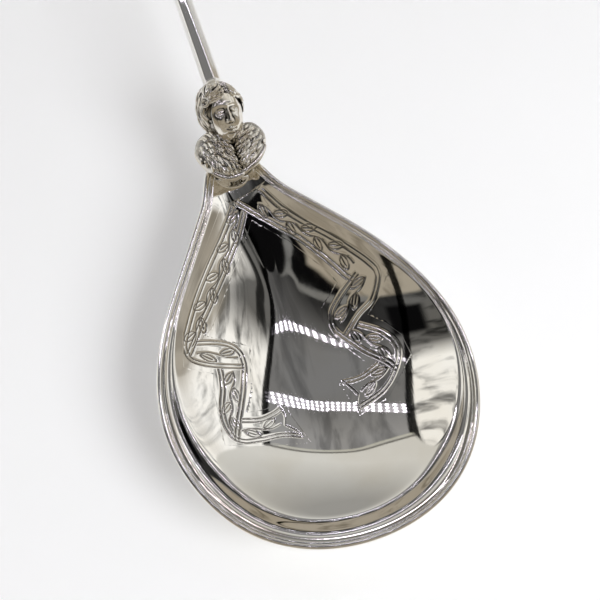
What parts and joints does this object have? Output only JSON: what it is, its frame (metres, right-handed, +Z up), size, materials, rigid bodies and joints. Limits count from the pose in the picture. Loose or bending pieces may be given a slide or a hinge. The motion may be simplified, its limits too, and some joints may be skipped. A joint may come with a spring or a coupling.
{
  "type": "apostle spoon",
  "caption": "Silver serving spoon: fig-shaped bowl with a flared wired lip, cast cherub head and wings at the neck, arched hexagonal stem and a robed figure as finial.",
  "frame": {"origin": "on the table, under the middle of the bowl's flattened foot", "axes": "+X across the spoon, +Y from the bowl's tip toward the finial, +Z up out of the open bowl"},
  "size_m": [0.055, 0.213, 0.0203],
  "materials": {
    "polished_silver": "mirror-polished silver, slightly warm",
    "oxidised_silver": "cast silver, bright on the high parts and darkened in the recesses"
  },
  "bodies": {
    "root": {"bowl": "polished_silver", "rim_wire": "polished_silver", "neck_drop": "polished_silver", "cherub_head": "oxidised_silver", "left_wing": "oxidised_silver", "right_wing": "oxidised_silver", "stem": "polished_silver", "finial_collar": "polished_silver", "plinth": "polished_silver", "apostle_figure": "oxidised_silver", "staff": "polished_silver"}
  },
  "joints": []
}
